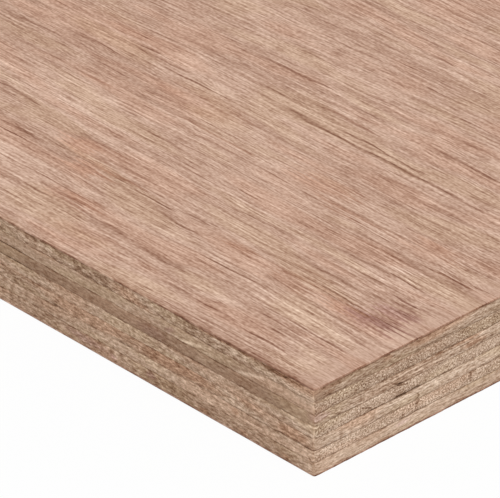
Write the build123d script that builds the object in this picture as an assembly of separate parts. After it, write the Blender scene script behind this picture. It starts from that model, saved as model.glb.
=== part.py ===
from build123d import *
import os

# One sheet of hardwood-faced plywood, 18 mm thick, laid flat.
# Nine plies are glued face to face, each with its grain across its neighbours'.
# The frame: origin at the centre of the underside, +X along the face grain and the
# sheet's length, +Y along its width, +Z up out of the good face.

# Driving dimensions, in millimetres.
sheet_length = 1220.0  # along the face grain
sheet_width = 610.0  # across the face grain
face_veneer_thickness = 0.4  # sanded face, top
back_veneer_thickness = 0.4  # sanded back, underside
crossband_thickness = 2.5  # inner plies with their grain across the sheet
longband_thickness = 2.4  # inner plies with their grain along the sheet
crossband_count = 4  # a longband lies between each two of them
corner_radius = 0.5  # the sawn upright corners, worn a little round
arris_size = 0.12  # the sanded break along the outer edges of face and back

# The lowest and the highest inner ply are crossbands, so there is one longband fewer.
longband_count = crossband_count - 1


def lay_up():
    """The plies from the underside up: (node name, thickness) for each."""
    plies = [("back_veneer", back_veneer_thickness)]
    for number in range(1, crossband_count + 1):
        plies.append((f"crossband_{number}", crossband_thickness))
        if number <= longband_count:
            plies.append((f"longband_{number}", longband_thickness))
    plies.append(("face_veneer", face_veneer_thickness))
    return plies


def ply(bottom, thickness):
    """One veneer of the panel, sawn flush with the others on all four sides."""
    outline = RectangleRounded(sheet_length, sheet_width, corner_radius)
    return Pos(0, 0, bottom) * extrude(outline, thickness)


def broken_arris(veneer, outer_side):
    """The veneer with the rim of its outer side broken by the sander."""
    rim = veneer.faces().sort_by(Axis.Z)[outer_side].edges()
    return chamfer(rim, arris_size)


def build_panel():
    """Every ply of the sheet by its node name, each seated on the one below."""
    panel = {}
    bottom = 0.0
    for name, thickness in lay_up():
        panel[name] = ply(bottom, thickness)
        bottom += thickness
    panel["back_veneer"] = broken_arris(panel["back_veneer"], 0)
    panel["face_veneer"] = broken_arris(panel["face_veneer"], -1)
    return panel


os.makedirs("parts", exist_ok=True)
for name, solid in build_panel().items():
    solid.label = name
    export_step(solid, f"parts/{name}.step")
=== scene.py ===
import math
from collections import namedtuple

import bpy
from bpy.props import FloatProperty, FloatVectorProperty, IntProperty, PointerProperty
from mathutils import Matrix, Vector


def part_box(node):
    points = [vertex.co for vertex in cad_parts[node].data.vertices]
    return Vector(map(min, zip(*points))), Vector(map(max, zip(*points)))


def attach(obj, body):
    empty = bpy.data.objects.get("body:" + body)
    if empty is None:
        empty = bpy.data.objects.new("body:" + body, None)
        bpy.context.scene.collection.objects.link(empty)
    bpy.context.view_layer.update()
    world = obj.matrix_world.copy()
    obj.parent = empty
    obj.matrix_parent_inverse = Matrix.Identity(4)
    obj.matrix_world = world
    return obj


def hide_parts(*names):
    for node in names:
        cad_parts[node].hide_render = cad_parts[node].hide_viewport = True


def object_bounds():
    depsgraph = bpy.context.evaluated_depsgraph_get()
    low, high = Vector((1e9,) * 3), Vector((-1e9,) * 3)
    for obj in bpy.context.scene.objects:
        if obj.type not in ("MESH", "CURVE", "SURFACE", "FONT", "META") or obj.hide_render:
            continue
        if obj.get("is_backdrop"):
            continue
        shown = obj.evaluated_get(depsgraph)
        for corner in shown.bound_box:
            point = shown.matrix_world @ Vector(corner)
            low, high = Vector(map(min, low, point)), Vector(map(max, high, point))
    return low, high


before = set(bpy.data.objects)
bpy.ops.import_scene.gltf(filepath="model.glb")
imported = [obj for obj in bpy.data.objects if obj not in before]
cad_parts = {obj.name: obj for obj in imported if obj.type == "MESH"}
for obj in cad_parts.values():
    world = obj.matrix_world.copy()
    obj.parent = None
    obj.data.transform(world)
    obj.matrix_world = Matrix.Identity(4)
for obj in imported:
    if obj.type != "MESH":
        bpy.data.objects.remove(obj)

bl_info = {
    "name": "Plywood Sheet",
    "version": (1, 0, 0),
    "blender": (4, 5, 0),
    "location": "3D View > Sidebar > Plywood",
    "description": "A sheet of hardwood-faced plywood with its sawn edges, on a pale studio floor",
    "category": "Add Mesh",
}

MM = 0.001
BODY = "root"

# The sheet as model.glb gives it: its box, and the corner that the picture looks at.
SHEET_LOW, SHEET_HIGH = (Vector(corner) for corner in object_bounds())
NEAR_CORNER = Vector((SHEET_HIGH.x, SHEET_LOW.y, SHEET_HIGH.z))
CROSSBANDS = sorted(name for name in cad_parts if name.startswith("crossband"))
LONGBANDS = sorted(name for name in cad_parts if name.startswith("longband"))
ALONG_SHEET = (1.0, 0.0, 0.0)
ACROSS_SHEET = (0.0, 1.0, 0.0)

# Where a glue line stands open: the line's number from the underside, and on the sheet
# the middle of the opening and half its length.
GAPES = {4: (NEAR_CORNER.x, NEAR_CORNER.y + 22.6 * MM, 4.5 * MM)}
NO_GAPE = (0.0, 0.0, 0.001 * MM)

# The rings of a ply's flat faces: how far inside the edge, and how far apart their points.
LID_RINGS = ((12.0 * MM, 8.0 * MM), (70.0 * MM, 70.0 * MM))
CORNER_POINTS = 3
WELD_DISTANCE = 0.002 * MM

# A band's rows beside those between its lips: a seat and a groove below, and the same above.
OUTER_ROWS = 4

# The face and the back are thin: they have few rows, low lips and calmer glue lines.
VENEER_ROWS = 2
VENEER_LIP = 0.6
VENEER_CALM = 0.4

# The steps in the noise from one glue line, or one ply's relief, to the next.
LINE_SEED_STEP = 1.618
RELIEF_SEED_STEP = 0.37


# Sizes and colours

class SawnEdge(bpy.types.PropertyGroup):
    """How the saw left the four edges of the sheet."""

    column_pitch: FloatProperty(
        name="Column Pitch", description="Distance between the mesh's columns round the rim",
        default=0.75 * MM, unit="LENGTH", precision=5)
    body_rows: IntProperty(
        name="Body Rows", description="Rows of points between the lips of one inner ply", default=4)
    corner_radius: FloatProperty(
        name="Corner Radius", description="Rounding of the sheet's upright corners",
        default=0.5 * MM, unit="LENGTH", precision=5)
    waviness: FloatProperty(
        name="Waviness", description="How far a glue line strays from its level",
        default=0.16 * MM, unit="LENGTH", precision=5)
    groove: FloatProperty(
        name="Groove", description="Depth of the groove that the saw leaves along a glue line",
        default=0.07 * MM, unit="LENGTH", precision=5)
    lip: FloatProperty(
        name="Lip", description="Height of the rounded lip beside a glue line",
        default=0.12 * MM, unit="LENGTH", precision=5)
    arris: FloatProperty(
        name="Arris", description="Width of the sanded break along the outer edges",
        default=0.12 * MM, unit="LENGTH", precision=5)
    seat: FloatProperty(
        name="Seat", description="Distance from the edge at which a wavy glue line is flat again",
        default=3.0 * MM, unit="LENGTH", precision=5)
    end_roughness: FloatProperty(
        name="End Roughness", description="Relief of the sawn end grain",
        default=0.07 * MM, unit="LENGTH", precision=5)
    side_roughness: FloatProperty(
        name="Side Roughness", description="Relief of the edges that run with the grain",
        default=0.04 * MM, unit="LENGTH", precision=5)


class WoodColours(bpy.types.PropertyGroup):
    """The tones of the wood, as they look in plain white light."""

    face_redness: FloatProperty(
        name="Face Redness", description="How far red stands over green in the face veneer",
        default=0.137, subtype="FACTOR")
    face_yellowness: FloatProperty(
        name="Face Yellowness", description="How far green stands over blue in the face veneer",
        default=0.080, subtype="FACTOR")
    core_redness: FloatProperty(
        name="Core Redness", description="How far red stands over green in the inner plies",
        default=0.121, subtype="FACTOR")
    core_yellowness: FloatProperty(
        name="Core Yellowness", description="How far green stands over blue in the inner plies",
        default=0.096, subtype="FACTOR")
    face_tone: FloatProperty(
        name="Face Tone", description="Lightness of the face veneer", default=0.762, subtype="FACTOR")
    side_tint: FloatVectorProperty(
        name="Side Tint", description="Tint of the inner plies on the short sides, which are less red",
        default=(0.925, 0.957, 0.982), subtype="COLOR")
    yellow_stain: FloatVectorProperty(
        name="Yellow Stain", description="Tint of the yellowish patches",
        default=(0.99, 1.0, 0.90), subtype="COLOR")
    red_stain: FloatVectorProperty(
        name="Red Stain", description="Tint of the reddish patches",
        default=(1.0, 0.89, 0.83), subtype="COLOR")
    purple_stain: FloatVectorProperty(
        name="Purple Stain", description="Tint of the purple patches",
        default=(0.96, 0.89, 1.0), subtype="COLOR")


class StudioStage(bpy.types.PropertyGroup):
    """The floor, the lights and the camera."""

    floor_size: FloatProperty(
        name="Floor Size", description="Side of the square floor", default=14.0, unit="LENGTH")
    floor_colour: FloatVectorProperty(
        name="Floor Colour", description="Colour of the floor",
        default=(0.82, 0.82, 0.82), subtype="COLOR")
    shadow_share: FloatProperty(
        name="Shadow Share", description="How much of the lit floor shows through its white",
        default=0.06, subtype="FACTOR")
    sky_strength: FloatProperty(name="Sky Strength", description="Light from all sides", default=0.46)
    key_strength: FloatProperty(
        name="Key Strength", description="Strength of the soft key light", default=2.05)
    key_softness: FloatProperty(
        name="Key Softness", description="Angle that the key light fills",
        default=math.radians(34), subtype="ANGLE")
    key_direction: FloatVectorProperty(
        name="Key Direction", description="Where the key light stands",
        default=(0.49, -0.16, 0.86), subtype="DIRECTION")
    lens: FloatProperty(
        name="Lens", description="Focal length of the camera, in millimetres", default=341.58)
    azimuth: FloatProperty(
        name="Azimuth", description="Turn of the camera round the sheet",
        default=math.radians(47.258), subtype="ANGLE")
    elevation: FloatProperty(
        name="Elevation", description="Height of the camera above the horizon",
        default=math.radians(30.051), subtype="ANGLE")
    roll: FloatProperty(
        name="Roll", description="Turn of the picture", default=math.radians(-0.507), subtype="ANGLE")
    corner_in_view: FloatVectorProperty(
        name="Corner in View", description="The near corner from the camera: right, up and away",
        default=(11.092 * MM, -24.213 * MM, 817.231 * MM), subtype="TRANSLATION", precision=6)


# Node trees

# The share of a mark's reach that is at full strength: in a spot, and in a stroke along
# its length and across it.
SPOT_CORE = 0.25
STROKE_CORE_LENGTH = 0.45
STROKE_CORE_WIDTH = 0.1

# How far apart the noises of two neighbouring seeds are taken, so that they don't match.
NOISE_STEPS = (7.31, 3.17, 5.73)


def math_node(operation, turned=False):
    """What an operator does: a Math node on a wire and another value, turned round if need be."""
    def operator(wire, other=0.0):
        values = (other, wire) if turned else (wire, other)
        return wire.graph.node("ShaderNodeMath", {"operation": operation}, dict(enumerate(values)))
    return operator


class Wire:
    """An output in a node tree. A sum on it adds a Math node."""

    def __init__(self, graph, socket):
        self.graph = graph
        self.socket = socket

    __add__ = math_node("ADD")
    __radd__ = math_node("ADD", turned=True)
    __sub__ = math_node("SUBTRACT")
    __rsub__ = math_node("SUBTRACT", turned=True)
    __mul__ = math_node("MULTIPLY")
    __rmul__ = math_node("MULTIPLY", turned=True)
    __truediv__ = math_node("DIVIDE")
    __rtruediv__ = math_node("DIVIDE", turned=True)
    __lt__ = math_node("LESS_THAN")
    __gt__ = math_node("GREATER_THAN")
    __abs__ = math_node("ABSOLUTE")


class Graph:
    """A material's tree or a geometry tree while it is built."""

    def __init__(self, tree):
        self.tree = tree

    def node(self, kind, settings=None, sockets=None, output=0):
        """Adds a node: its settings are made first, then its sockets take values or links."""
        node = self.tree.nodes.new(kind)
        for name, value in (settings or {}).items():
            if name == "stops":
                set_stops(node.color_ramp, value)
            else:
                setattr(node, name, value)
        for name, value in (sockets or {}).items():
            if isinstance(value, Wire):
                self.tree.links.new(value.socket, node.inputs[name])
            else:
                node.inputs[name].default_value = value
        return Wire(self, node.outputs[output])

    def end(self, kind, made):
        """Links what the tree makes to its output node, of this kind."""
        node = self.tree.nodes.new(kind)
        self.tree.links.new(made.socket, node.inputs[0])

    def vector(self, operation, *values, output=0):
        """A Vector Math node on these values."""
        return self.node("ShaderNodeVectorMath", {"operation": operation}, dict(enumerate(values)), output)

    def scaled(self, vector, factor):
        """A vector times a number."""
        return self.node("ShaderNodeVectorMath", {"operation": "SCALE"}, {0: vector, "Scale": factor})

    def split(self, vector):
        """The three numbers of a vector."""
        first = self.node("ShaderNodeSeparateXYZ", None, {0: vector})
        return [Wire(self, socket) for socket in first.socket.node.outputs]

    def join(self, x, y, z):
        """A vector of three numbers."""
        return self.node("ShaderNodeCombineXYZ", None, {0: x, 1: y, 2: z})

    def ramp(self, value, start, full):
        """A smooth step from 0, where value is at start, to 1, where it is at full, above or below."""
        return self.node(
            "ShaderNodeMapRange", {"interpolation_type": "SMOOTHSTEP"},
            {"Value": value, "From Min": start, "From Max": full})

    def blend(self, first, second, share):
        """The number between first and second that share, from 0 to 1, gives."""
        return self.node("ShaderNodeMix", {"data_type": "FLOAT"}, {0: share, 2: first, 3: second})

    def tint(self, colour, stain, share):
        """The colour multiplied by a stain, by a share from 0 to 1."""
        return self.node(
            "ShaderNodeMix", {"data_type": "RGBA", "blend_type": "MULTIPLY"},
            {0: share, 6: colour, 7: (*stain, 1.0)}, output=2)

    def noise(self, place, cell, detail=1.0, roughness=0.5, seed=0):
        """Noise of mean 0, mostly within a quarter each way, in cells of these two or three sizes."""
        scale = tuple(1.0 / size for size in cell) + (1.0,) * (3 - len(cell))
        moved = self.vector("MULTIPLY_ADD", place, scale, tuple(seed * step for step in NOISE_STEPS))
        return self.node(
            "ShaderNodeTexNoise", {"noise_dimensions": f"{len(cell)}D"},
            {"Vector": moved, "Scale": 1.0, "Detail": detail, "Roughness": roughness}) - 0.5

    def spot(self, x, y, mark):
        """1 in the middle of an ellipse about a mark, which fades to 0 at the mark's reach."""
        away = self.vector("SUBTRACT", self.join(x, y, 0.0), (mark.x, mark.y, 0.0))
        shares = self.vector("DIVIDE", away, (mark.reach_x, mark.reach_y, 1.0))
        return self.ramp(self.vector("LENGTH", shares, output=1), 1.0, SPOT_CORE)

    def stroke(self, x, y, mark):
        """1 along a thin line about a mark, which fades to 0 at its sides and towards its ends."""
        along = self.ramp(abs(x - mark.x), mark.reach_x, mark.reach_x * STROKE_CORE_LENGTH)
        across = self.ramp(abs(y - mark.y), mark.reach_y, mark.reach_y * STROKE_CORE_WIDTH)
        return along * across


def set_stops(color_ramp, stops):
    """Gives a colour ramp these stops, each a place from 0 to 1 and a colour."""
    while len(color_ramp.elements) < len(stops):
        color_ramp.elements.new(0.5)
    for element, (place, colour) in zip(color_ramp.elements, stops):
        element.position = place
        element.color = (*colour, 1.0)


def linear(shade):
    """A shade from 0 to 1 as the screen shows it, turned into linear light by the sRGB curve."""
    shade = max(shade, 0.0)
    return shade / 12.92 if shade <= 0.04045 else ((shade + 0.055) / 1.055) ** 2.4


# Geometry trees

# The inputs of a ply's tree, by the kind of their sockets.
PLY_INPUTS = {
    "NodeSocketFloat": (
        "Length", "Width", "Corner Radius", "Bottom", "Top", "Bottom Waviness", "Top Waviness",
        "Bottom Groove", "Top Groove", "Bottom Seed", "Top Seed", "Lip", "Seat", "Pitch",
        "End Roughness", "Side Roughness", "Relief Seed"),
    "NodeSocketInt": ("Rows",),
    "NodeSocketVector": ("Bottom Gape", "Top Gape", "Grain"),
    "NodeSocketMaterial": ("Material",),
}

# The noise that a glue line follows as it strays, stands loose and is ragged: the size
# of its cells, its detail and its seed.
SLOW_STRAY = (31.0 * MM, 1.0, 0)
QUICK_STRAY = (5.0 * MM, 2.0, 3)
LOOSE = (22.0 * MM, 1.0, 7)
RAGGED = (3.0 * MM, 2.0, 11)

# How far a glue line strays and gapes, in shares of its waviness. A placed opening is
# fully open over the core of its length, and loose lines open less.
SLOW_GAIN = 3.0
QUICK_GAIN = 1.2
GAPE_WIDTH = 0.6
GAPE_CORE = 0.55
LOOSE_LIMITS = (0.14, 0.22)
LOOSE_SHARE = 0.6

# A groove's depth in shares of its usual one: the least, what comes and goes, and what
# an open glue line adds.
GROOVE_LEAST = 0.35
GROOVE_RAGGED = 1.3
GROOVE_OPEN = 2.2

# The saw's relief: the size of its cells, their length along the grain, and its gain.
RELIEF_CELL = (1.1 * MM, 1.1 * MM, 0.8 * MM)
RELIEF_LENGTH = 11.0 * MM
RELIEF_GAIN = 3.0


def spaced(graph, outline, pitch):
    """The outline with points a pitch apart."""
    index = graph.node("GeometryNodeInputIndex")
    place = graph.node("GeometryNodeInputPosition")
    following = graph.node(
        "GeometryNodeOffsetPointInCurve", None, {"Point Index": index, "Offset": 1}, output=1)
    next_place = graph.node(
        "GeometryNodeFieldAtIndex", {"data_type": "FLOAT_VECTOR"}, {"Value": place, "Index": following})
    run = graph.vector("DISTANCE", place, next_place, output=1)
    return graph.node("GeometryNodeSubdivideCurve", None, {"Curve": outline, "Cuts": run / pitch})


def rectangle(graph, given, inset):
    """The sheet's outline drawn in by an inset."""
    return graph.node(
        "GeometryNodeCurvePrimitiveQuadrilateral", {"mode": "RECTANGLE"},
        {"Width": given["Length"] - inset * 2.0, "Height": given["Width"] - inset * 2.0})


def stored(graph, geometry, name, kind, value):
    """The geometry with a value of this kind kept under a name at each of its points."""
    return graph.node(
        "GeometryNodeStoreNamedAttribute", {"data_type": kind},
        {"Geometry": geometry, "Name": name, "Value": value})


def rim_curve(graph, given):
    """The sheet's outline as a poly curve, with points a pitch apart and on the rounded corners."""
    rounded = graph.node(
        "GeometryNodeFilletCurve", {"mode": "POLY"},
        {"Curve": rectangle(graph, given, 0.0), "Count": CORNER_POINTS, "Radius": given["Corner Radius"]})
    place = graph.node("GeometryNodeInputPosition")
    return stored(graph, spaced(graph, rounded, given["Pitch"]), "rim", "FLOAT_VECTOR", place)


def joined(graph, parts):
    """The parts as one geometry."""
    node = graph.tree.nodes.new("GeometryNodeJoinGeometry")
    for part in parts:
        graph.tree.links.new(part.socket, node.inputs[0])
    return Wire(graph, node.outputs[0])


def flat_lid(graph, given, seat_ring):
    """A flat face inside the seat ring, in rings whose points stand wider apart towards the middle."""
    rings = [seat_ring]
    for inset, pitch in LID_RINGS:
        rings.append(spaced(graph, rectangle(graph, given, inset), pitch))
    fills = [
        graph.node("GeometryNodeFillCurve", {"mode": "TRIANGLES"}, {"Curve": joined(graph, pair)})
        for pair in zip(rings, rings[1:])]
    fills.append(graph.node("GeometryNodeFillCurve", {"mode": "TRIANGLES"}, {"Curve": rings[-1]}))
    return joined(graph, fills)


def held_inside(graph, given, place, inset):
    """The place, drawn in until it lies an inset inside the sheet's rectangle."""
    reach = graph.join(given["Length"] / 2.0 - inset, given["Width"] / 2.0 - inset, 1.0)
    other = graph.vector("MULTIPLY", reach, (-1.0, -1.0, -1.0))
    return graph.vector("MINIMUM", graph.vector("MAXIMUM", place, other), reach)


def line_noise(graph, rim, kind):
    """Noise of one kind that runs round the rim."""
    cell, detail, seed = kind
    return graph.noise(rim, (cell, cell, 1.0), detail=detail, seed=seed)


def glue_line(graph, given, rim, side):
    """Where a glue line runs: how far it strays, how wide it gapes and how deep its groove is."""
    waviness = given[side + " Waviness"]
    shifted = graph.vector("ADD", rim, graph.join(0.0, 0.0, given[side + " Seed"]))
    slow = line_noise(graph, shifted, SLOW_STRAY)
    quick = line_noise(graph, shifted, QUICK_STRAY)
    stray = (slow * SLOW_GAIN + quick * QUICK_GAIN) * waviness
    loose = line_noise(graph, shifted, LOOSE)
    gape_x, gape_y, half_length = graph.split(given[side + " Gape"])
    away = graph.vector("DISTANCE", rim, graph.join(gape_x, gape_y, 0.0), output=1)
    placed = graph.ramp(away / half_length, 1.0, GAPE_CORE)
    gape = graph.ramp(loose, *LOOSE_LIMITS) * LOOSE_SHARE + placed
    ragged = line_noise(graph, shifted, RAGGED) + 0.5
    groove = given[side + " Groove"] * (ragged * GROOVE_RAGGED + GROOVE_LEAST + gape * GROOVE_OPEN)
    return stray, gape * waviness * GAPE_WIDTH, groove


def by_row(graph, row, last, seat_low, groove_low, body, groove_high, seat_high):
    """The value that a row of the band takes: row 0 is the seat below and row 1 the groove below,
    the last two are those above, and the body lies between."""
    value = body
    for limit, other in ((row < 1.5, groove_low), (row < 0.5, seat_low)):
        value = graph.blend(value, other, limit)
    for limit, other in ((row > last - 1.5, groove_high), (row > last - 0.5, seat_high)):
        value = graph.blend(value, other, limit)
    return value


def sawn_relief(graph, given, rim, outward, level):
    """How far in the saw left each point: rough on end grain, smoother where it ran with the grain."""
    place = graph.vector("ADD", rim, graph.join(0.0, 0.0, level + given["Relief Seed"]))
    stretch = graph.vector("MULTIPLY_ADD", given["Grain"], (RELIEF_LENGTH,) * 3, RELIEF_CELL)
    noise = graph.noise(graph.vector("DIVIDE", place, stretch), (1.0, 1.0, 1.0), detail=2.0)
    end_share = abs(graph.vector("DOT_PRODUCT", outward, given["Grain"], output=1))
    return noise * graph.blend(given["Side Roughness"], given["End Roughness"], end_share) * RELIEF_GAIN


def sawn_band(graph, given, rail, rim, inner):
    """The band round the rim: its rows run from a flat seat out to a glue line, over the sawn edge
    to the next glue line, and back to a flat seat."""
    line = graph.node("GeometryNodeMeshLine", None, {"Count": given["Rows"]})
    numbered = stored(graph, line, "row", "FLOAT", graph.node("GeometryNodeInputIndex"))
    profile = graph.node("GeometryNodeMeshToCurve", None, {"Mesh": numbered})
    band = graph.node("GeometryNodeCurveToMesh", None, {"Curve": rail, "Profile Curve": profile})
    row = graph.node("GeometryNodeInputNamedAttribute", {"data_type": "FLOAT"}, {"Name": "row"})
    last = given["Rows"] - 1.0

    low_stray, low_gape, low_groove = glue_line(graph, given, rim, "Bottom")
    high_stray, high_gape, high_groove = glue_line(graph, given, rim, "Top")
    low = given["Bottom"] + low_stray + low_gape
    high = given["Top"] + high_stray - high_gape
    share = (row - OUTER_ROWS / 2.0) / (last - OUTER_ROWS)
    body_level = graph.blend(low + given["Lip"], high - given["Lip"], share)
    level = by_row(graph, row, last, given["Bottom"], low, body_level, high, given["Top"])

    core = held_inside(graph, given, rim, given["Corner Radius"])
    outward = graph.vector("NORMALIZE", graph.vector("SUBTRACT", rim, core))
    relief = sawn_relief(graph, given, rim, outward, level)
    inset = by_row(graph, row, last, 0.0, low_groove, relief, high_groove, 0.0)
    seated = by_row(graph, row, last, 1.0, 0.0, 0.0, 0.0, 1.0)
    edge_place = graph.vector("SUBTRACT", rim, graph.scaled(outward, inset))
    flat_place = graph.node(
        "ShaderNodeMix", {"data_type": "VECTOR"}, {0: seated, 4: edge_place, 5: inner}, output=1)
    place = graph.vector("ADD", flat_place, graph.join(0.0, 0.0, level))
    shaped = graph.node("GeometryNodeSetPosition", None, {"Geometry": band, "Position": place})
    levelled = stored(graph, shaped, "level", "FLOAT", (level - low) / (high - low))
    outward_faces = graph.node("GeometryNodeFlipFaces", None, {"Mesh": levelled})
    on_edge = (row > 1.0) * (row < last - 1.0)
    return graph.node(
        "GeometryNodeSetShadeSmooth", {"domain": "FACE"},
        {"Geometry": outward_faces, "Shade Smooth": on_edge})


def flat_sides(graph, given, rail, inner):
    """The upper and the under side of a ply, inside the band."""
    drawn_in = graph.node("GeometryNodeSetPosition", None, {"Geometry": rail, "Position": inner})
    lid = graph.node(
        "GeometryNodeSetShadeSmooth", {"domain": "FACE"},
        {"Geometry": flat_lid(graph, given, drawn_in), "Shade Smooth": False})
    heights = (graph.join(0.0, 0.0, given[side]) for side in ("Top", "Bottom"))
    upper, sunk = (
        graph.node("GeometryNodeSetPosition", None, {"Geometry": lid, "Offset": height})
        for height in heights)
    return upper, graph.node("GeometryNodeFlipFaces", None, {"Mesh": sunk})


def build_ply_tree():
    """One ply as the saw leaves it: a band round the rim between wavy glue lines, and two flat sides."""
    tree = bpy.data.node_groups.new("sawn_ply", "GeometryNodeTree")
    graph = Graph(tree)
    for kind, names in PLY_INPUTS.items():
        for name in names:
            tree.interface.new_socket(name, in_out="INPUT", socket_type=kind)
    tree.interface.new_socket("Geometry", in_out="OUTPUT", socket_type="NodeSocketGeometry")
    entry = tree.nodes.new("NodeGroupInput")
    given = {name: Wire(graph, entry.outputs[name]) for names in PLY_INPUTS.values() for name in names}

    rail = rim_curve(graph, given)
    rim = graph.node("GeometryNodeInputNamedAttribute", {"data_type": "FLOAT_VECTOR"}, {"Name": "rim"})
    inner = held_inside(graph, given, rim, given["Seat"])
    band = sawn_band(graph, given, rail, rim, inner)
    whole = joined(graph, (band, *flat_sides(graph, given, rail, inner)))
    made = graph.node("GeometryNodeMergeByDistance", None, {"Geometry": whole, "Distance": WELD_DISTANCE})
    for name in ("rim", "row"):
        made = graph.node("GeometryNodeRemoveAttribute", None, {"Geometry": made, "Name": name})
    real = graph.node("GeometryNodeRealizeInstances", None, {"Geometry": made})
    graph.end("NodeGroupOutput", graph.node(
        "GeometryNodeSetMaterial", None, {"Geometry": real, "Material": given["Material"]}))
    return tree


def put_in_scene(name, data):
    """A new object in the scene for this mesh, light or camera."""
    thing = bpy.data.objects.new(name, data)
    bpy.context.scene.collection.objects.link(thing)
    return thing


def grown_piece(name, tree, values):
    """A plain mesh piece: what the tree makes of these values."""
    piece = put_in_scene(name, bpy.data.meshes.new(name))
    modifier = piece.modifiers.new(tree.name, "NODES")
    modifier.node_group = tree
    for item in tree.interface.items_tree:
        if item.in_out == "INPUT":
            modifier[item.identifier] = values[item.name]
    graph = bpy.context.evaluated_depsgraph_get()
    mesh = bpy.data.meshes.new_from_object(
        piece.evaluated_get(graph), preserve_all_data_layers=True, depsgraph=graph)
    piece.modifiers.remove(modifier)
    spare = piece.data
    piece.data = mesh
    bpy.data.meshes.remove(spare)
    mesh.name = name
    return piece


# Wood

# An inner ply's lightness on the long front edge and on the short side, how strong its
# grain is on each, and how reddish its stains are.
PlyLook = namedtuple("PlyLook", "front side front_contrast side_contrast redness")
PLY_LOOKS = {
    "crossband_4": PlyLook(0.718, 0.704, 1.22, 1.02, 1.00),
    "longband_3": PlyLook(0.745, 0.713, 0.70, 1.15, 0.50),
    "crossband_3": PlyLook(0.636, 0.742, 0.63, 1.26, 0.30),
    "longband_2": PlyLook(0.746, 0.759, 0.97, 1.16, 0.50),
    "crossband_2": PlyLook(0.713, 0.787, 1.08, 1.08, 0.80),
    "longband_1": PlyLook(0.752, 0.790, 0.92, 1.16, 0.40),
    "crossband_1": PlyLook(0.703, 0.786, 1.05, 0.88, 0.50),
}

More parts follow.
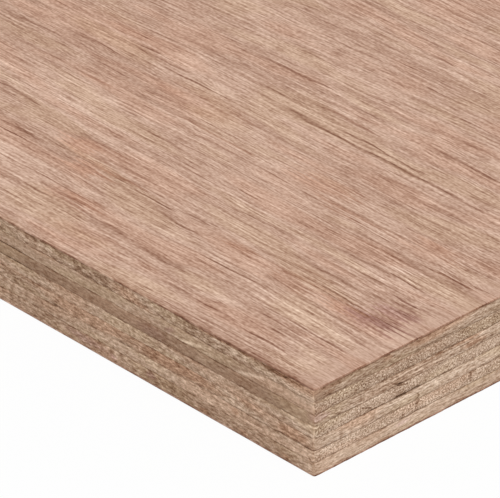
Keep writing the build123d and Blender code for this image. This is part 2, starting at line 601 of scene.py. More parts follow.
# A place where the wood is darker, paler or stained: the centre and the reach in
# millimetres, the shade, the rise for each millimetre along, and how red and how
# purple it is. On a face the centre is measured along the sheet and across it from
# the near corner. On an edge it is measured along, from the near corner to the left
# below 0 and to the right above 0, and up from the face of the sheet, which tells its ply.
Mark = namedtuple("Mark", "x y reach_x reach_y shade rise red purple", defaults=(0.0, 0.0, 0.0))
EDGE_MARKS = (
    Mark(-9.3, -0.8, 7.0, 0.6, -0.24, red=0.8),
    Mark(-16.5, -0.6, 3.4, 0.45, -0.18, red=0.8),
    Mark(-25.0, -0.45, 10.0, 0.4, -0.16, red=1.0),
    Mark(-75.0, -0.6, 7.0, 0.4, -0.1),
    Mark(-69.0, -1.8, 14.0, 1.0, 0.05),
    Mark(-7.0, -2.0, 8.0, 1.0, 0.05),
    Mark(3.6, -2.0, 2.4, 0.6, -0.1, red=0.6),
    Mark(17.2, -1.0, 2.4, 0.9, -0.03, red=0.9),
    Mark(27.0, -1.1, 7.5, 1.1, -0.03, red=0.9),
    Mark(29.0, -2.5, 8.0, 0.3, -0.16),
    Mark(3.5, -2.5, 5.0, 0.3, -0.12),
    Mark(4.0, -1.0, 5.0, 0.5, -0.05, red=0.7),
    Mark(6.0, -0.5, 7.0, 0.3, -0.16, red=0.4),
    Mark(13.5, -0.5, 2.6, 0.3, -0.18, red=0.4),
    Mark(28.0, -0.45, 14.0, 0.22, -0.12),
    Mark(38.0, -1.1, 8.0, 0.6, 0.05),
    Mark(-30.0, -4.3, 5.5, 0.4, 0.15, rise=0.22),
    Mark(-29.5, -4.9, 4.5, 0.25, -0.14, rise=0.22),
    Mark(-22.0, -4.7, 4.5, 0.25, -0.08, rise=0.15),
    Mark(-15.5, -4.1, 6.0, 0.5, 0.12, rise=0.2),
    Mark(-37.2, -4.2, 1.6, 1.1, -0.03, purple=0.8),
    Mark(9.7, -4.6, 0.9, 0.4, -0.14, rise=0.3),
    Mark(-42.0, -6.6, 6.0, 1.6, -0.01, purple=0.5),
    Mark(-34.0, -7.6, 12.0, 0.2, -0.12),
    Mark(-18.0, -7.6, 2.2, 0.25, -0.12),
    Mark(1.0, -6.2, 3.4, 1.5, 0.0, purple=0.9),
    Mark(31.0, -5.5, 1.2, 0.45, -0.17, red=0.7),
    Mark(29.0, -5.9, 4.5, 0.25, -0.12, red=0.6),
    Mark(37.5, -5.6, 5.5, 0.6, -0.1, red=1.0),
    Mark(39.4, -6.9, 4.0, 0.9, -0.09, red=1.0),
    Mark(6.4, -7.4, 2.2, 0.35, -0.16, rise=-0.15),
    Mark(20.0, -7.35, 1.9, 0.42, -0.26, rise=-0.5),
    Mark(26.5, -6.0, 8.0, 0.25, 0.1),
    Mark(28.0, -6.85, 7.0, 0.22, 0.1),
    Mark(28.0, -6.4, 8.0, 0.18, -0.1),
    Mark(12.2, -9.3, 1.6, 0.3, -0.22, rise=-0.5),
    Mark(14.2, -10.05, 4.6, 0.2, -0.2),
    Mark(21.2, -10.05, 1.2, 0.3, -0.3),
    Mark(24.7, -10.05, 1.5, 0.3, -0.28),
    Mark(21.2, -8.1, 1.3, 0.35, -0.18, rise=-0.5),
    Mark(32.4, -10.05, 1.8, 0.25, -0.22),
    Mark(-35.5, -9.0, 1.6, 1.0, 0.07),
    Mark(-5.5, -11.3, 5.5, 1.5, -0.01, red=0.9),
    Mark(-16.0, -11.3, 5.5, 1.4, -0.04),
    Mark(-6.5, -12.45, 6.0, 0.25, -0.16, red=0.5),
    Mark(21.7, -11.2, 3.6, 1.2, 0.05),
    Mark(24.85, -11.8, 0.35, 1.4, -0.18),
    Mark(-33.0, -11.4, 14.0, 1.6, -0.01, red=0.9),
    Mark(28.9, -10.9, 0.9, 0.6, 0.09),
    Mark(19.5, -12.45, 6.0, 0.25, -0.16),
    Mark(24.85, -13.5, 0.45, 1.4, -0.22),
    Mark(38.7, -13.8, 0.45, 1.6, -0.2),
    Mark(39.0, -12.9, 1.0, 0.5, -0.15),
    Mark(34.5, -13.9, 4.5, 1.3, -0.03),
    Mark(21.7, -14.5, 0.5, 0.45, -0.2),
    Mark(16.5, -14.9, 3.2, 0.22, -0.18),
    Mark(25.0, -14.9, 1.4, 0.3, -0.18),
    Mark(-27.0, -14.7, 1.9, 0.25, 0.34),
    Mark(-27.8, -15.05, 1.6, 0.2, -0.18),
    Mark(-11.5, -13.9, 3.0, 0.4, 0.08),
    Mark(-20.6, -13.5, 1.4, 0.9, -0.02, red=0.9),
    Mark(-57.0, -14.9, 0.6, 0.35, -0.25),
    Mark(-0.8, -14.7, 0.6, 0.4, -0.32),
    Mark(-43.0, -16.0, 1.8, 1.2, -0.02, purple=1.0),
    Mark(-61.0, -16.2, 9.0, 1.2, -0.01, purple=0.7),
    Mark(-53.0, -16.7, 1.2, 0.8, 0.1, purple=0.9),
    Mark(-24.5, -15.9, 1.1, 1.0, -0.1, purple=0.2),
    Mark(-28.5, -17.1, 2.4, 0.6, -0.02, red=1.0),
    Mark(-17.8, -17.0, 1.6, 0.7, 0.02, red=0.9),
    Mark(-7.2, -17.0, 1.6, 0.6, -0.04, red=1.0),
    Mark(-1.2, -15.5, 1.2, 0.5, -0.16),
    Mark(21.7, -15.9, 2.4, 0.6, 0.03, purple=0.6),
    Mark(6.6, -17.35, 2.0, 0.3, -0.14, red=0.8),
    Mark(16.5, -17.35, 3.5, 0.3, -0.12, red=0.8),
    Mark(36.0, -17.35, 2.2, 0.3, -0.14, red=0.8),
)
FACE_PATCHES = (
    Mark(-113.0, 41.0, 24.0, 8.0, 0.045),
    Mark(-99.0, 44.0, 16.0, 3.5, 0.03),
    Mark(-92.0, 38.5, 18.0, 4.5, 0.05),
    Mark(-101.0, 17.5, 11.0, 5.0, 0.06),
    Mark(-105.0, 65.5, 10.0, 3.0, 0.055),
    Mark(-91.5, 62.7, 8.0, 1.4, 0.045),
    Mark(-80.0, 34.0, 6.0, 2.2, 0.015),
    Mark(-60.0, 39.5, 20.0, 3.0, 0.045),
    Mark(-49.0, 36.2, 11.0, 1.8, 0.05),
    Mark(-18.0, 34.8, 16.0, 2.4, 0.08),
    Mark(-12.0, 39.5, 12.0, 2.6, 0.085),
    Mark(-18.0, 15.5, 20.0, 3.2, 0.045),
    Mark(-34.0, 9.5, 12.0, 2.4, 0.065),
    Mark(-10.0, 7.0, 10.0, 8.0, 0.05),
    Mark(-42.0, 4.0, 14.0, 1.8, 0.04),
    Mark(-37.5, 32.0, 5.0, 3.0, -0.01),
    Mark(-44.0, 26.5, 3.5, 1.0, 0.05),
    Mark(-7.5, 23.3, 7.0, 3.6, -0.155, purple=1.0),
    Mark(-8.5, 28.4, 5.5, 3.4, -0.075, purple=0.8),
    Mark(-16.0, 23.0, 7.0, 3.2, -0.035, red=0.8),
    Mark(-28.5, 22.5, 8.0, 3.6, -0.08, red=0.5),
    Mark(-45.0, 23.5, 6.0, 2.4, -0.055, red=0.6),
    Mark(-93.0, 28.5, 6.0, 3.5, -0.005, red=0.9),
    Mark(-86.0, 24.5, 6.5, 4.5, -0.015, red=0.9),
    Mark(-92.0, 30.5, 13.0, 1.8, -0.03, red=0.3),
    Mark(-79.5, 14.2, 9.0, 2.8, -0.05, red=0.6),
    Mark(-66.0, 6.0, 12.0, 5.0, -0.02, red=0.4),
    Mark(-127.0, 63.5, 26.0, 9.0, 0.005, red=0.4),
    Mark(-92.0, 55.0, 18.0, 6.5, 0.005, red=0.5),
    Mark(-50.0, 51.0, 10.0, 4.0, -0.035, red=0.7),
    Mark(-43.0, 57.5, 18.0, 7.0, -0.045),
    Mark(-20.0, 48.0, 8.0, 4.0, 0.0, red=0.5),
)
FACE_LINES = (
    Mark(-19.0, 25.2, 6.5, 0.45, -0.16, rise=-0.09),
    Mark(-14.5, 24.0, 6.0, 0.4, -0.09, rise=-0.12),
    Mark(-28.0, 29.2, 14.0, 0.55, -0.1),
    Mark(-36.0, 26.3, 9.0, 0.55, -0.11, rise=0.02),
    Mark(-27.5, 27.4, 7.0, 0.45, -0.14, rise=0.03, red=0.3),
    Mark(-44.0, 28.0, 7.0, 0.4, -0.05, rise=0.07),
    Mark(-20.0, 36.9, 16.0, 0.45, -0.19, rise=0.01),
    Mark(-21.0, 33.5, 12.0, 0.35, -0.11, rise=0.02),
    Mark(-9.5, 32.0, 5.5, 0.4, -0.27, purple=0.5),
    Mark(-9.5, 30.6, 3.0, 0.4, -0.09),
    Mark(-25.0, 43.4, 20.0, 0.35, -0.08),
    Mark(-9.5, 43.4, 5.0, 0.4, -0.14, red=0.5),
    Mark(-7.5, 44.8, 3.5, 0.45, -0.16),
    Mark(-33.0, 41.8, 14.0, 0.4, -0.05, red=0.3),
    Mark(-23.0, 11.0, 14.0, 0.35, -0.1, rise=-0.01),
    Mark(-14.0, 12.9, 9.0, 0.45, -0.1, rise=-0.02),
    Mark(-35.0, 6.0, 13.5, 0.5, -0.13, rise=-0.02),
    Mark(-17.5, 5.1, 6.5, 0.35, -0.14, rise=-0.03),
    Mark(-38.5, 7.6, 5.5, 0.45, -0.09),
    Mark(-51.0, 11.1, 9.0, 0.5, -0.13, rise=-0.01),
    Mark(-67.0, 12.1, 10.0, 0.45, -0.13, rise=-0.04),
    Mark(-60.0, 22.0, 9.0, 0.45, -0.17),
    Mark(-57.0, 26.0, 6.0, 0.55, -0.21),
    Mark(-68.0, 24.4, 8.0, 0.4, -0.22),
    Mark(-31.0, 24.3, 7.5, 0.5, -0.03, red=0.5),
    Mark(-50.0, 33.3, 8.0, 0.4, -0.13, rise=0.02),
    Mark(-59.5, 38.7, 3.5, 0.5, -0.1),
    Mark(-40.0, 17.3, 11.0, 0.35, -0.2),
    Mark(-19.0, 19.5, 12.0, 0.35, -0.08),
    Mark(-78.0, 25.8, 7.0, 0.65, -0.16, red=0.7),
    Mark(-78.0, 28.7, 6.0, 0.65, -0.12),
    Mark(-79.0, 13.7, 4.5, 0.8, -0.1),
    Mark(-83.0, 15.7, 14.0, 0.35, -0.1),
    Mark(-104.5, 24.3, 7.5, 0.55, -0.16, rise=-0.07),
    Mark(-107.5, 22.5, 4.0, 0.4, -0.23),
    Mark(-94.5, 21.5, 7.5, 0.35, -0.06),
    Mark(-117.0, 33.8, 9.0, 0.75, -0.15, rise=-0.04),
    Mark(-119.5, 32.4, 4.0, 0.5, -0.13),
    Mark(-88.0, 41.5, 8.5, 0.4, -0.14),
    Mark(-88.5, 39.3, 5.5, 0.35, -0.13),
    Mark(-88.0, 36.4, 18.0, 0.35, -0.1, rise=-0.01),
    Mark(-111.0, 48.0, 5.5, 0.45, -0.01, red=0.4),
    Mark(-129.0, 48.2, 9.0, 0.45, -0.09),
    Mark(-120.0, 46.0, 6.0, 0.4, -0.1, rise=-0.08),
    Mark(-140.0, 54.5, 8.0, 0.55, -0.13, rise=0.07),
    Mark(-124.5, 58.3, 6.5, 0.65, -0.11),
    Mark(-120.0, 62.5, 21.0, 0.35, -0.14, rise=0.01),
    Mark(-96.5, 61.0, 9.5, 0.4, -0.16),
    Mark(-113.0, 64.0, 6.5, 0.4, -0.17),
    Mark(-116.0, 66.9, 8.5, 0.4, -0.11),
    Mark(-99.0, 50.8, 12.0, 0.35, -0.09),
    Mark(-80.0, 49.4, 16.0, 0.4, -0.13, red=0.4, rise=-0.01),
    Mark(-68.0, 47.2, 14.0, 0.5, -0.02),
    Mark(-80.0, 46.8, 5.0, 0.5, -0.09),
    Mark(-38.0, 47.4, 12.0, 0.55, -0.13, red=0.5),
    Mark(-41.0, 45.8, 7.0, 0.45, -0.1, red=0.4),
    Mark(-53.0, 65.7, 36.0, 0.7, -0.19, rise=-0.026),
    Mark(-52.0, 67.7, 15.0, 0.4, -0.24, rise=-0.02),
    Mark(-66.5, 71.9, 9.0, 0.5, -0.12, red=0.3),
    Mark(-39.0, 75.4, 12.5, 0.6, -0.15, rise=-0.02),
    Mark(-64.5, 76.0, 6.5, 0.65, -0.08),
    Mark(-88.0, 77.8, 13.0, 0.55, -0.2, rise=0.02),
    Mark(-42.0, 81.6, 11.0, 0.5, -0.16),
    Mark(-61.5, 92.0, 4.5, 0.45, -0.15),
    Mark(-73.0, 88.9, 7.5, 0.45, -0.07),
    Mark(-88.0, 92.8, 10.0, 0.4, -0.12),
    Mark(-89.0, 85.4, 7.5, 0.45, -0.06),
    Mark(-55.0, 86.8, 4.5, 0.5, -0.04),
    Mark(-72.0, 101.8, 4.5, 0.5, -0.16),
    Mark(-28.0, 59.9, 13.0, 0.35, -0.1),
    Mark(-66.0, 57.4, 9.0, 0.45, -0.02, rise=-0.06),
)


# How much darker an outer veneer's sawn rim is than its face, and how red.
Rim = namedtuple("Rim", "front side redness")
FACE_RIM = Rim(0.125, 0.17, 0.2)
BACK_RIM = Rim(0.05, 0.23, -0.4)

# A layer of noise in the wood: the size of its cells in millimetres, its share in the
# wood's lightness where that is one number, and its detail. Its seed is its place in the
# list, and what is added to that for each piece.
Layer = namedtuple("Layer", "cell share detail roughness", defaults=(0.0, 1.0, 0.5))
CORE_LAYERS = {
    "slope": Layer((24.0, 6.0)),
    "wobble": Layer((5.0, 2.2)),
    "broad": Layer((26.0, 1.7)),
    "streak": Layer((10.0, 0.36), detail=2.0, roughness=0.65),
    "grit": Layer((1.3, 0.34), 0.50, roughness=0.65),
    "dust": Layer((0.42, 0.24), detail=0.0),
    "patchy": Layer((3.4, 60.0)),
    "slow": Layer((18.0, 60.0)),
}
FACE_LAYERS = {
    "drift": Layer((130.0, 40.0), detail=0.0),
    "wave": Layer((34.0, 12.0), detail=0.0),
    "bands": Layer((90.0, 8.0), 0.10),
    "patches": Layer((22.0, 4.5), 0.04),
    "streaks": Layer((80.0, 0.56), 0.29, detail=2.0),
    "fibres": Layer((6.0, 0.46), 0.19, roughness=0.6),
    "flecks": Layer((0.9, 0.34), 0.17, detail=0.0),
    "lines": Layer((14.0, 0.50), -0.05, detail=0.0),
    "pores": Layer((4.5, 0.36), -0.08, detail=0.0),
    "hue": Layer((30.0, 7.0)),
    "uneven": Layer((4.5, 1.0)),
    "ripple": Layer((11.0, 3.0), detail=0.0),
    "mottle": Layer((4.5, 3.5), 0.05, detail=0.0),
}

# The noise at which the face's dark lines and pores start and are full, and how uneven an
# outer veneer's sawn rim is.
LINE_LIMITS = (0.05, 0.30)
PORE_LIMITS = (0.08, 0.30)
RIM_UNEVENNESS = 0.42

# How an inner ply's grain runs, how fine its grit and how strong its dust are on end
# grain, and how strong its slow noise is on the long edge.
Grain = namedtuple("Grain", "direction end_fineness end_dust front_slowness")
CROSSBAND_GRAIN = Grain(ACROSS_SHEET, 0.85, 0.16, 0.23)
LONGBAND_GRAIN = Grain(ALONG_SHEET, 4.0, 0.34, 0.13)

# An inner ply along its grain and on end grain: how strongly two layers show, how much
# shorter the streaks are, and how high the grit stands, in millimetres.
BROAD_SHARES = (0.14, 0.18)
STREAK_SHARES = (0.30, 0.20)
STREAK_SHORTENING = (1.0, 7.0)
GRIT_RELIEF = (0.06, 0.09)
LEAST_DUST = 0.16
SIDE_SLOWNESS = 0.10

# The dark stain of a glue line: how far it reaches, in millimetres, its shade, and the
# noise at which it starts and is full.
GLUE_REACH = 0.28
GLUE_SHADE = 0.12
GLUE_LIMITS = (-0.06, 0.12)

# Wood is reddish where noise rises to the first limit and yellowish where it falls to the
# second, by these shares. An inner ply's look says how red it is.
CORE_STAIN_LIMITS = (0.16, -0.15)
CORE_YELLOW = 0.5
FACE_STAIN_LIMITS = (0.18, -0.18)
FACE_RED = 0.4
FACE_YELLOW = 0.45

# The mean of the grit's square. With it taken off, pits leave the tone as it is.
GRIT_MEAN_SQUARE = 0.017

# Towards the upright corner the long edge turns lighter and the short side darker: the distances in
# millimetres at which the change starts and is full, and its shade.
FRONT_CORNER_TONE = (7.5, 4.5, 0.035)
SIDE_CORNER_TONE = (3.2, 1.2, -0.035)

# The same for the face: towards its ends its grain grows stronger and then is worn flat,
# and towards its long edges it is darker.
STRONGER_END = (28.0, 12.0, 0.15)
WORN_END = (6.5, 2.5, 0.01)
WORN_END_CALM = 0.45
DARK_EDGE = (2.4, 0.8, 0.035)

# The lightness of wood that has its full redness, how fast wood gets its colour as it
# rises from black, and how much redder inner plies and faces are where they are darker.
REFERENCE_RED = 0.76
COLOUR_RISE = 2.2
CORE_DEEPENING = 0.45
FACE_DEEPENING = 0.65
RAMP_STOPS = (0.08, 0.25, 0.40, 0.55, 0.70, 0.85, 1.0)
WOOD_SHINE = 0.12
CORE_ROUGHNESS = 0.74
FACE_ROUGHNESS = 0.62
FACE_RELIEF = 0.05

# How far a surface has to turn to a side to start to count as facing it, and to wholly do so.
FACING_LIMITS = (0.5, 0.9)


def wood_colour(graph, lightness, redness, yellowness, deepening):
    """The colour of wood this light, where the lightness is that of its red."""
    stops = []
    for red in RAMP_STOPS:
        strength = min(1.0, COLOUR_RISE * red)
        green = red - redness * strength * (1.0 + (REFERENCE_RED - red) * deepening)
        blue = green - yellowness * strength
        stops.append((red, (linear(red), linear(green), linear(blue))))
    return graph.node("ShaderNodeValToRGB", {"stops": stops}, {0: lightness})


def new_material(name):
    """An empty node material and its graph."""
    material = bpy.data.materials.new(name)
    material.use_nodes = True
    material.node_tree.nodes.clear()
    return material, Graph(material.node_tree)


def finish_wood(graph, colour, roughness, height):
    """Wood's surface: its colour, its roughness and its relief, in millimetres, as a bump."""
    bump = graph.node(
        "ShaderNodeBump", None, {"Strength": 1.0, "Distance": MM, "Height": height})
    graph.end("ShaderNodeOutputMaterial", graph.node(
        "ShaderNodeBsdfPrincipled", None,
        {"Base Color": colour, "Roughness": roughness, "Normal": bump, "Specular IOR Level": WOOD_SHINE}))


def places(graph):
    """The place on the piece in millimetres from the near corner, and its three numbers."""
    place = graph.node("ShaderNodeTexCoord", output="Object")
    measured = graph.vector("MULTIPLY_ADD", place, (1 / MM,) * 3, tuple(-c / MM for c in NEAR_CORNER))
    return measured, graph.split(measured)


def faces(graph, axis):
    """1 where the surface faces along an axis, from 0 to 2, either way, and 0 where it faces across."""
    direction = graph.node("ShaderNodeTexCoord", output="Normal")
    return graph.ramp(abs(graph.split(direction)[axis]), *FACING_LIMITS)


def wood_noise(graph, layers, name, place, seed):
    """One layer of the wood's noise, by its name."""
    layer = layers[name]
    number = seed + list(layers).index(name)
    return graph.noise(place, layer.cell, layer.detail, layer.roughness, number)


def placed_marks(graph, x, y, marks, shape):
    """The shade, redness and purpleness that the placed marks, spots or strokes, add up to."""
    totals = [0.0, 0.0, 0.0]
    for mark in marks:
        level = y - (x - mark.x) * mark.rise if mark.rise else y
        share = shape(x, level, mark)
        for index, amount in enumerate((mark.shade, mark.red, mark.purple)):
            if amount:
                totals[index] = share * amount + totals[index]
    return totals


def stained(graph, colour, red, purple):
    """The colour with its red and its purple stains."""
    colours = bpy.context.scene.plywood_colours
    reddened = graph.tint(colour, tuple(colours.red_stain), red)
    return graph.tint(reddened, tuple(colours.purple_stain), purple)


def core_wood(name, grain, number):
    """An inner ply: speckled where the saw cut across its grain, streaked where it cut along it."""
    look = PLY_LOOKS[name]
    low, high = (corner[2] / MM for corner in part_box(name))
    thickness = high - low
    colours = bpy.context.scene.plywood_colours
    material, graph = new_material(name)
    _, (x, y, _) = places(graph)
    on_side = faces(graph, 0)
    level = graph.node("ShaderNodeAttribute", {"attribute_name": "level"}, output="Fac")
    end_grain = on_side if grain is LONGBAND_GRAIN else 1.0 - on_side
    run = x + y
    height = level * thickness

    def layer(name, along, up):
        """One layer of the ply's noise, at a place on the sawn edge."""
        return wood_noise(graph, CORE_LAYERS, name, graph.join(along, up, 0.0), number * 10)

    # Beside noise, a number is how many millimetres it bends the grain or moves a mark.
    slope = layer("slope", run, height)
    wobble = layer("wobble", run, height)
    bent_run = (run + wobble * 1.6) * graph.blend(*STREAK_SHORTENING, end_grain)
    bent_height = height + slope * 1.4 + wobble * 0.4
    broad = layer("broad", bent_run, bent_height)
    streak = layer("streak", bent_run, bent_height)
    grit = layer(
        "grit", (run + wobble) * graph.blend(1.0, grain.end_fineness, end_grain),
        (height + slope * 1.4 + wobble * 0.3) * graph.blend(0.72, 1.0, on_side))
    pitted = grit - (grit * grit - GRIT_MEAN_SQUARE) * on_side
    dust = layer("dust", run, height)
    slow = layer("slow", run, height)
    grainy = (
        broad * graph.blend(*BROAD_SHARES, end_grain) + streak * graph.blend(*STREAK_SHARES, end_grain)
        + pitted * CORE_LAYERS["grit"].share + dust * graph.blend(LEAST_DUST, grain.end_dust, end_grain)
        + slow * graph.blend(grain.front_slowness, SIDE_SLOWNESS, on_side))

    patchy = layer("patchy", run, height)
    glue_low = graph.ramp(height, GLUE_REACH, 0.0) * graph.ramp(patchy, *GLUE_LIMITS)
    glue_high = graph.ramp(thickness - height, GLUE_REACH, 0.0) * graph.ramp(patchy * -1.0, *GLUE_LIMITS)
    below_face = low - NEAR_CORNER.z / MM
    marks = [mark for mark in EDGE_MARKS if below_face < mark.y < below_face + thickness]
    shade, red, purple = placed_marks(
        graph, run + wobble * 3.0, height + (below_face + streak * 0.5), marks, graph.spot)
    # Towards the upright corner the long edge is made lighter and the short side darker.
    front_corner_tone, side_corner_tone = (
        graph.ramp(abs(run), start, full) * change for start, full, change in (FRONT_CORNER_TONE, SIDE_CORNER_TONE))
    lightness = (
        graph.blend(look.front, look.side, on_side)
        + grainy * graph.blend(look.front_contrast, look.side_contrast, on_side)
        - (glue_low + glue_high) * GLUE_SHADE + shade + graph.blend(front_corner_tone, side_corner_tone, on_side))

    colour = wood_colour(
        graph, lightness, colours.core_redness, colours.core_yellowness, CORE_DEEPENING)
    red_limit, yellow_limit = CORE_STAIN_LIMITS
    reddish = graph.ramp(slope, 0.0, red_limit) * look.redness
    yellowish = graph.ramp(slope, 0.0, yellow_limit) * CORE_YELLOW
    yellowed = graph.tint(colour, tuple(colours.yellow_stain), yellowish)
    toned = graph.tint(stained(graph, yellowed, reddish + red, purple), tuple(colours.side_tint), on_side)
    relief = streak * 0.04 + grit * graph.blend(*GRIT_RELIEF, end_grain)
    finish_wood(graph, toned, CORE_ROUGHNESS, relief)
    return material


def face_wood(name, seed, patch_marks, line_marks, rim):
    """An outer veneer: fine streaks and pores along the sheet, in lighter and darker bands."""
    colours = bpy.context.scene.plywood_colours
    material, graph = new_material(name)
    place, (x, y, _) = places(graph)
    on_side, on_face = faces(graph, 0), faces(graph, 2)

    def layer(name, at):
        """One layer of the veneer's noise."""
        return wood_noise(graph, FACE_LAYERS, name, at, seed)

    # Beside noise, a number is how many millimetres it bends the grain or moves a mark.
    drift, wave, ripple = (layer(name, place) for name in ("drift", "wave", "ripple"))
    bent = graph.join(x, y + drift * 5.0 + wave * 1.2 + ripple * 0.6, 0.0)
    shown = {name: layer(name, bent) for name in ("bands", "patches", "streaks", "fibres", "flecks")}
    shown["mottle"] = layer("mottle", place)
    shown["lines"] = graph.ramp(layer("lines", bent), *LINE_LIMITS)
    shown["pores"] = graph.ramp(layer("pores", bent), *PORE_LIMITS)
    grainy = sum(noise * FACE_LAYERS[name].share for name, noise in shown.items())
    streaks, fibres, mottle = shown["streaks"], shown["fibres"], shown["mottle"]

    patch_sums = placed_marks(
        graph, x + streaks * 20.0 + mottle * 6.0, y + fibres * 3.0 + shown["patches"] * 4.0,
        patch_marks, graph.spot)
    line_sums = placed_marks(
        graph, x + fibres * 12.0, y + ripple * 0.8 + mottle * 0.4, line_marks, graph.stroke)
    shade, red, purple = (first + second for first, second in zip(patch_sums, line_sums))

    half_length, half_width = ((SHEET_HIGH - SHEET_LOW) / 2.0 / MM)[:2]
    from_end = half_length - abs(x + half_length)
    from_edge = half_width - abs(y - half_width)
    strong = graph.ramp(from_end, *STRONGER_END[:2])
    worn = graph.ramp(from_end, *WORN_END[:2])
    dark = graph.ramp(from_edge, *DARK_EDGE[:2])
    uneven = layer("uneven", graph.join(x + y, 0.0, 0.0))
    rim_depth = uneven * RIM_UNEVENNESS + graph.blend(rim.front, rim.side, on_side)
    lightness = (
        grainy * (strong * STRONGER_END[-1] + 1.0 - worn * WORN_END_CALM) + colours.face_tone
        + worn * WORN_END[-1] - dark * on_face * DARK_EDGE[-1] - (1.0 - on_face) * rim_depth + shade)

    hue = layer("hue", bent)
    colour = wood_colour(
        graph, lightness, colours.face_redness, colours.face_yellowness, FACE_DEEPENING)
    red_limit, yellow_limit = FACE_STAIN_LIMITS
    reddish = graph.ramp(hue, 0.0, red_limit) * FACE_RED + (1.0 - on_face) * rim.redness
    yellowish = graph.ramp(hue, 0.0, yellow_limit) * FACE_YELLOW
    yellowed = graph.tint(colour, tuple(colours.yellow_stain), yellowish)
    stained_wood = stained(graph, yellowed, reddish + red, purple)
    relief = (streaks + fibres) * FACE_RELIEF
    finish_wood(graph, stained_wood, FACE_ROUGHNESS - fibres * 0.3, relief)
    return material


# The plies

def glue_values(side, number, outer):
    """A ply's values for one of its sides: a glue line by its number, or the sheet's own outside."""
    edge = bpy.context.scene.plywood_edge
    calm = VENEER_CALM if number in (1, len(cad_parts) - 1) else 1.0
    return {
        f"{side} Waviness": 0.0 if outer else edge.waviness * calm,
        f"{side} Groove": edge.arris if outer else edge.groove * calm,
        f"{side} Seed": number * LINE_SEED_STEP,
        f"{side} Gape": GAPES.get(number, NO_GAPE),
    }


def ply_number(node):
    """The place of a ply in the sheet, counted from the underside."""
    order = sorted(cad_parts, key=lambda name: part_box(name)[0][2])
    return order.index(node)


def add_ply(node, direction, material, thin=False):
    """One ply of the sheet in place of its plain solid, with its grain in this direction."""
    edge = bpy.context.scene.plywood_edge
    low, high = (Vector(corner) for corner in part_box(node))
    number = ply_number(node)
    values = {
        "Length": high.x - low.x,
        "Width": high.y - low.y,
        "Corner Radius": edge.corner_radius,
        "Bottom": low.z,
        "Top": high.z,
        "Lip": edge.lip * (VENEER_LIP if thin else 1.0),
        "Seat": edge.seat,
        "Pitch": edge.column_pitch,
        "Rows": (VENEER_ROWS if thin else edge.body_rows) + OUTER_ROWS,
        "Grain": direction,
        "End Roughness": edge.end_roughness,
        "Side Roughness": edge.side_roughness,
        "Relief Seed": number * RELIEF_SEED_STEP,
        "Material": material,
    }
    values.update(glue_values("Bottom", number, number == 0))
    values.update(glue_values("Top", number + 1, number == len(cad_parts) - 1))
    tree = bpy.data.node_groups.get("sawn_ply") or build_ply_tree()
    piece = grown_piece(f"{node}_wood", tree, values)
    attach(piece, BODY)
    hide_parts(node)


def add_inner_plies(nodes, grain):
    """The inner plies whose grain runs this way."""
    for node in nodes:
        add_ply(node, grain.direction, core_wood(node, grain, ply_number(node)))


class PLYWOOD_OT_face_veneer(bpy.types.Operator):
    """Makes the sanded veneer on the sheet's good side"""

    bl_idname = "plywood.face_veneer"
    bl_label = "Face Veneer"

    def execute(self, context):
        material = face_wood("face_wood", 1, FACE_PATCHES, FACE_LINES, FACE_RIM)
        add_ply("face_veneer", ALONG_SHEET, material, thin=True)
        return {"FINISHED"}


class PLYWOOD_OT_back_veneer(bpy.types.Operator):
    """Makes the sanded veneer on the sheet's underside"""

    bl_idname = "plywood.back_veneer"
    bl_label = "Back Veneer"

    def execute(self, context):
        material = face_wood("back_wood", 31, (), (), BACK_RIM)
        add_ply("back_veneer", ALONG_SHEET, material, thin=True)
        return {"FINISHED"}


class PLYWOOD_OT_crossbands(bpy.types.Operator):
    """Makes the inner plies whose grain lies across the sheet"""

    bl_idname = "plywood.crossbands"
    bl_label = "Crossbands"

    def execute(self, context):
        add_inner_plies(CROSSBANDS, CROSSBAND_GRAIN)
        return {"FINISHED"}


class PLYWOOD_OT_longbands(bpy.types.Operator):
    """Makes the inner plies whose grain lies along the sheet"""

    bl_idname = "plywood.longbands"
    bl_label = "Longbands"

    def execute(self, context):
        add_inner_plies(LONGBANDS, LONGBAND_GRAIN)
        return {"FINISHED"}


# Stage

WHITE = (1.0, 1.0, 1.0, 1.0)

# The nearest and the farthest that the camera sees, in metres.
CAMERA_REACH = (0.05, 100.0)


def ground_shows(graph):
    """1 on the rays that bring the white ground to the camera, straight or off gloss or through glass."""
    camera, glossy, clear = (
        graph.node("ShaderNodeLightPath", output=f"Is {kind} Ray")
        for kind in ("Camera", "Glossy", "Transmission"))
    return (camera + glossy + clear) > 0.5


def add_floor(stage):
    """A pale floor under the sheet, white to the camera but for the sheet's shadow."""
    half = stage.floor_size / 2.0
    mesh = bpy.data.meshes.new("floor")
    corners = [(-half, -half, 0.0), (half, -half, 0.0), (half, half, 0.0), (-half, half, 0.0)]
    mesh.from_pydata(corners, [], [(0, 1, 2, 3)])
    floor = put_in_scene("floor", mesh)
    material, graph = new_material("floor_paper")
    paper = graph.node("ShaderNodeBsdfDiffuse", None, {"Color": (*stage.floor_colour, 1.0)})
    white = graph.node("ShaderNodeEmission", None, {"Color": WHITE, "Strength": 1.0})
    clear = graph.node("ShaderNodeBsdfTransparent")
    shows = ground_shows(graph)
    behind = graph.node("ShaderNodeNewGeometry", output="Backfacing")
    front = graph.node(
        "ShaderNodeMixShader", None, {0: shows * (1.0 - stage.shadow_share), 1: paper, 2: white})
    surface = graph.node("ShaderNodeMixShader", None, {0: shows * behind, 1: front, 2: clear})
    graph.end("ShaderNodeOutputMaterial", surface)
    mesh.materials.append(material)
    floor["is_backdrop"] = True


def add_sky(stage):
    """Even light from all sides, and white behind everything that the camera sees."""
    world = bpy.data.worlds.new("studio")
    world.use_nodes = True
    world.node_tree.nodes.clear()
    graph = Graph(world.node_tree)
    strength = graph.blend(stage.sky_strength, 1.0, ground_shows(graph))
    graph.end("ShaderNodeOutputWorld", graph.node(
        "ShaderNodeBackground", None, {"Color": WHITE, "Strength": strength}))
    bpy.context.scene.world = world


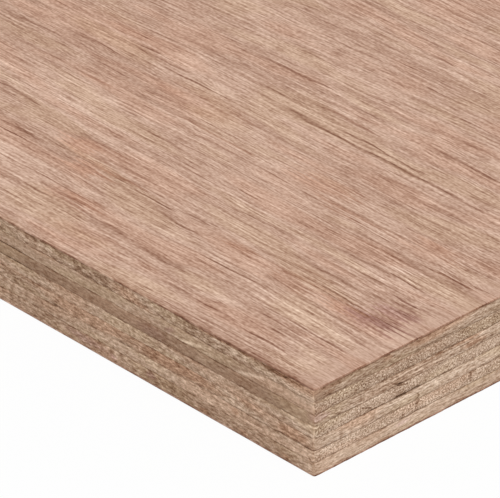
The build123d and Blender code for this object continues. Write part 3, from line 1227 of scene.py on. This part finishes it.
def add_key_light(stage):
    """One wide soft light from above the right-hand edge."""
    light = bpy.data.lights.new("key", "SUN")
    light.energy = stage.key_strength
    light.angle = stage.key_softness
    key = put_in_scene("key", light)
    key.rotation_euler = Vector(stage.key_direction).to_track_quat("Z", "Y").to_euler()


def add_camera(stage):
    """The camera, set so that the near corner stands where the picture has it."""
    turn = Matrix.Rotation(stage.azimuth, 3, "Z")
    tilt = Matrix.Rotation(math.pi / 2.0 - stage.elevation, 3, "X")
    roll = Matrix.Rotation(stage.roll, 3, "Z")
    facing = turn @ tilt @ roll
    right, up, away = stage.corner_in_view
    eye = NEAR_CORNER - facing @ Vector((right, up, -away))
    data = bpy.data.cameras.new("camera")
    data.lens = stage.lens
    data.clip_start, data.clip_end = CAMERA_REACH
    camera = put_in_scene("camera", data)
    camera.matrix_world = Matrix.Translation(eye) @ facing.to_4x4()
    bpy.context.scene.camera = camera


class PLYWOOD_OT_stage(bpy.types.Operator):
    """Sets the floor, the lights and the camera"""

    bl_idname = "plywood.stage"
    bl_label = "Stage"

    def execute(self, context):
        stage = context.scene.plywood_stage
        add_camera(stage)
        add_floor(stage)
        add_sky(stage)
        add_key_light(stage)
        context.scene.view_settings.view_transform = "Standard"
        return {"FINISHED"}


class PLYWOOD_PT_sheet(bpy.types.Panel):
    """Lists the sheet's sizes, its colours and the operators that make it"""

    bl_label = "Plywood Sheet"
    bl_idname = "PLYWOOD_PT_sheet"
    bl_space_type = "VIEW_3D"
    bl_region_type = "UI"
    bl_category = "Plywood"

    def draw(self, context):
        for group in SETTINGS:
            box = self.layout.box()
            settings = getattr(context.scene, group)
            for name in settings.__annotations__:
                box.prop(settings, name)
        for operator in OPERATORS:
            self.layout.operator(operator.bl_idname)


SETTINGS = {
    "plywood_edge": SawnEdge,
    "plywood_colours": WoodColours,
    "plywood_stage": StudioStage,
}
OPERATORS = (
    PLYWOOD_OT_stage,
    PLYWOOD_OT_face_veneer,
    PLYWOOD_OT_crossbands,
    PLYWOOD_OT_longbands,
    PLYWOOD_OT_back_veneer,
)


def register():
    for group in SETTINGS.values():
        bpy.utils.register_class(group)
    for operator in OPERATORS:
        bpy.utils.register_class(operator)
    bpy.utils.register_class(PLYWOOD_PT_sheet)
    for name, group in SETTINGS.items():
        setattr(bpy.types.Scene, name, PointerProperty(type=group))


def unregister():
    for name in SETTINGS:
        delattr(bpy.types.Scene, name)
    bpy.utils.unregister_class(PLYWOOD_PT_sheet)
    for operator in reversed(OPERATORS):
        bpy.utils.unregister_class(operator)
    for group in SETTINGS.values():
        bpy.utils.unregister_class(group)


def main():
    """Makes the stage and every piece."""
    register()
    bpy.ops.plywood.stage()
    bpy.ops.plywood.face_veneer()
    bpy.ops.plywood.crossbands()
    bpy.ops.plywood.longbands()
    bpy.ops.plywood.back_veneer()


if __name__ == "__main__":
    main()
